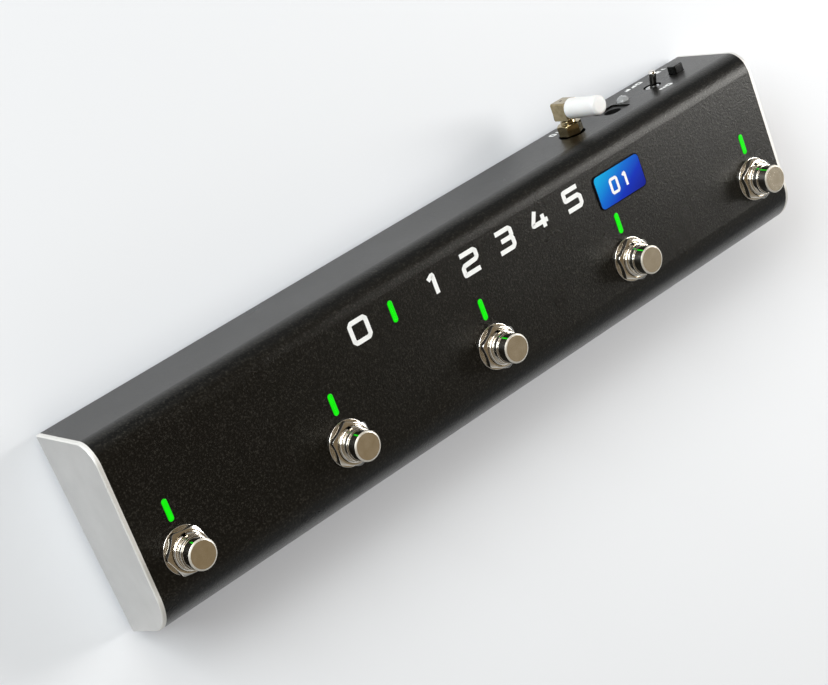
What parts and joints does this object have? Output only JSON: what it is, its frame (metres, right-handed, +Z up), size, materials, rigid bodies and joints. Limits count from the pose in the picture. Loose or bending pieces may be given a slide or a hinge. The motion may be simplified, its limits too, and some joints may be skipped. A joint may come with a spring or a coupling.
{
  "type": "foot controller",
  "caption": "Long low wedge-shaped aluminium foot controller with a row of footswitches, green light bars, and rear antenna, jack, toggle and push button.",
  "frame": {"origin": "on the table, at the middle of the whole part's box", "axes": "+X along the row of switches to the right, +Y to the rear, +Z up"},
  "size_m": [0.296, 0.082, 0.0448],
  "materials": {
    "black_powder_coat": "fine matte powder coat",
    "bare_aluminium": "satin",
    "zinc_steel": "zinc plated",
    "black_sheet": "matte powder coat",
    "black_screw": "black oxide",
    "foot_rubber": "matte",
    "black_plastic": "moulded",
    "cell_wrap": "printed wrap",
    "contact_metal": "nickel plated",
    "button_black": "satin",
    "badge_blue": "printed blue fade under gloss",
    "nickel": "bright nickel",
    "plunger_nickel": "satin nickel top, bright side",
    "dark_chrome": "polished",
    "tinned_brass": "tinned",
    "spring_steel": "drawn wire",
    "housing_blue": "moulded",
    "board_green": "solder mask",
    "chip_black": "moulded",
    "shield_can": "tinned",
    "diode_body": "white package",
    "lens_clear": "clear gloss",
    "lit_green": "lit green",
    "gold_brass": "thin gold over nickel",
    "sheath_white": "smooth"
  },
  "bodies": {
    "housing": {"shell": "black_powder_coat", "left_end_plate": "bare_aluminium", "right_end_plate": "bare_aluminium", "end_brackets": "zinc_steel", "board_standoffs": "zinc_steel", "toggle_bushing": "zinc_steel", "bottom_cover": "black_sheet", "cover_screws": "black_screw", "rubber_feet": "foot_rubber", "battery_holder": "black_plastic", "battery_door": "black_plastic", "jack_body": "black_plastic", "button_switch": "black_plastic", "toggle_housing": "black_plastic", "battery_cells": "cell_wrap", "battery_contacts": "contact_metal", "jack_contacts": "contact_metal", "board_screws": "contact_metal", "badge": "badge_blue", "switch_nuts": "nickel", "switch_washers": "nickel", "switch_back_nuts": "nickel", "switch_terminals": "tinned_brass", "circuit_board": "board_green", "board_chips": "chip_black", "radio_module": "shield_can", "light_diodes": "diode_body", "rear_lens": "lens_clear", "status_light_pipe": "lit_green", "antenna_socket": "gold_brass", "antenna_nut": "gold_brass", "switch_bushing_1": "nickel", "switch_spring_1": "spring_steel", "switch_housing_1": "housing_blue", "light_pipe_1": "lit_green", "switch_bushing_2": "nickel", "switch_spring_2": "spring_steel", "switch_housing_2": "housing_blue", "light_pipe_2": "lit_green", "switch_bushing_3": "nickel", "switch_spring_3": "spring_steel", "switch_housing_3": "housing_blue", "light_pipe_3": "lit_green", "switch_bushing_4": "nickel", "switch_spring_4": "spring_steel", "switch_housing_4": "housing_blue", "light_pipe_4": "lit_green", "switch_bushing_5": "nickel", "switch_spring_5": "spring_steel", "switch_housing_5": "housing_blue", "light_pipe_5": "lit_green"},
    "plunger_1": {"switch_plunger_1": "plunger_nickel"},
    "plunger_2": {"switch_plunger_2": "plunger_nickel"},
    "plunger_3": {"switch_plunger_3": "plunger_nickel"},
    "plunger_4": {"switch_plunger_4": "plunger_nickel"},
    "plunger_5": {"switch_plunger_5": "plunger_nickel"},
    "toggle": {"toggle_lever": "dark_chrome"},
    "button": {"button_cap": "button_black"},
    "antenna": {"antenna_elbow": "gold_brass", "antenna_sheath": "sheath_white"}
  },
  "joints": [
    {"name": "press_1", "type": "slide", "parent": "housing", "child": "plunger_1", "axis": [0, 0.0889, -0.996], "range_m": [0, 0.0025], "stiffness_N_per_m": 3000, "deforming": ["switch_spring_1"]},
    {"name": "press_2", "type": "slide", "parent": "housing", "child": "plunger_2", "axis": [0, 0.0889, -0.996], "range_m": [0, 0.0025], "stiffness_N_per_m": 3000, "deforming": ["switch_spring_2"]},
    {"name": "press_3", "type": "slide", "parent": "housing", "child": "plunger_3", "axis": [0, 0.0889, -0.996], "range_m": [0, 0.0025], "stiffness_N_per_m": 3000, "deforming": ["switch_spring_3"]},
    {"name": "press_4", "type": "slide", "parent": "housing", "child": "plunger_4", "axis": [0, 0.0889, -0.996], "range_m": [0, 0.0025], "stiffness_N_per_m": 3000, "deforming": ["switch_spring_4"]},
    {"name": "press_5", "type": "slide", "parent": "housing", "child": "plunger_5", "axis": [0, 0.0889, -0.996], "range_m": [0, 0.0025], "stiffness_N_per_m": 3000, "deforming": ["switch_spring_5"]},
    {"name": "toggle_swing", "type": "hinge", "parent": "housing", "child": "toggle", "pos_m": [0.11765, 0.02591, 0.01769], "axis": [1, 0, 0], "range_deg": [-33, 0]},
    {"name": "button_press", "type": "slide", "parent": "housing", "child": "button", "axis": [0, -0.996, -0.0889], "range_m": [0, 0.0008], "stiffness_N_per_m": 1500},
    {"name": "antenna_swivel", "type": "hinge", "parent": "housing", "child": "antenna", "pos_m": [0.0755, 0.0281, 0.01789], "axis": [0, 0.996, 0.0889], "range_deg": [-135, 135]}
  ]
}
